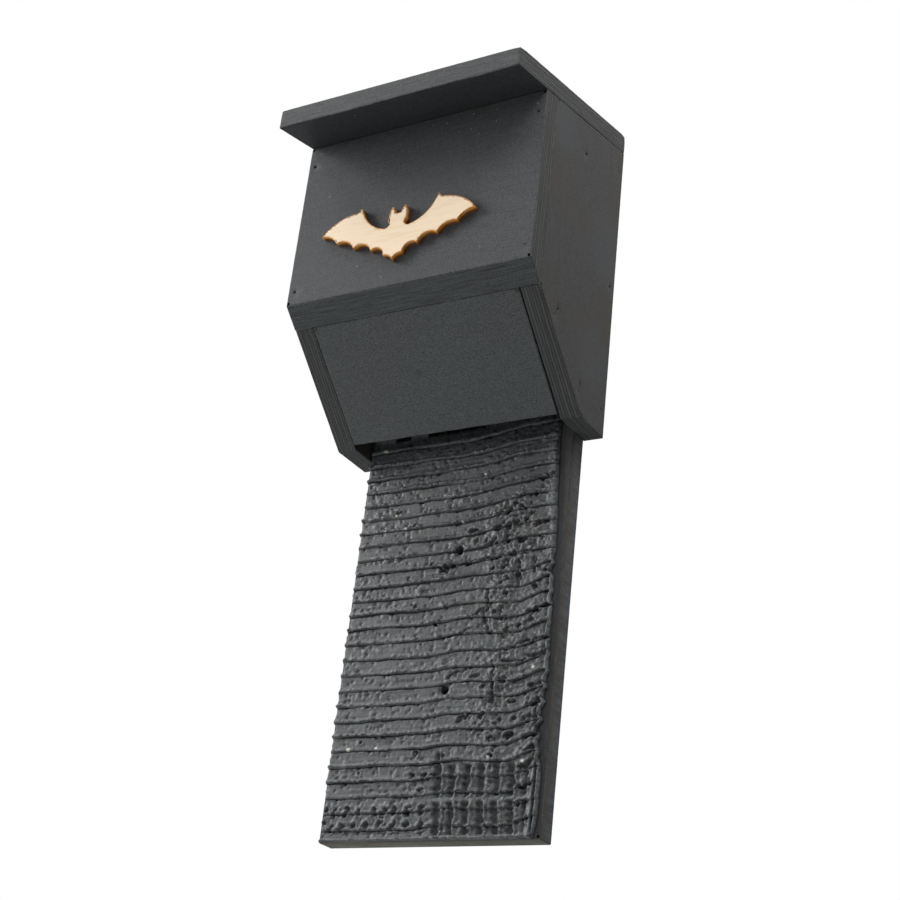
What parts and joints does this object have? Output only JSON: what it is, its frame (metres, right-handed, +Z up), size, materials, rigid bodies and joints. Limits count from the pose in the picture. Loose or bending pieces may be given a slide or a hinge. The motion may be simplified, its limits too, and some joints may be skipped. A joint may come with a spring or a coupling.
{
  "type": "bat box",
  "caption": "Wall-hung plywood bat box: long landing board with a trowelled grip coat, slanted lower front over an entrance slot, sloping roof and a bat-shaped emblem.",
  "frame": {"origin": "on the wall plane (the back board's back face), on the box's centreline, halfway between the two screw holes' heights", "axes": "+X to the viewer's right, +Y into the wall, +Z up along the back board"},
  "size_m": [0.156, 0.1315, 0.4262],
  "materials": {
    "painted_plywood": "matt black water-based paint over plywood, worn at the arrises",
    "coat": "rough trowelled coat, combed and painted black",
    "pale_plywood": "bare sanded plywood with laser-burnt edges",
    "steel": "plain steel brads and staples"
  },
  "bodies": {
    "root": {"back_board": "painted_plywood", "grip_coat": "coat", "side_left": "painted_plywood", "side_right": "painted_plywood", "front_panel": "painted_plywood", "lower_front_panel": "painted_plywood", "roof": "painted_plywood", "bat_emblem": "pale_plywood", "front_nails": "steel", "back_nails": "steel", "roof_nails": "steel", "side_pins": "steel", "panel_staples": "steel"}
  },
  "joints": []
}
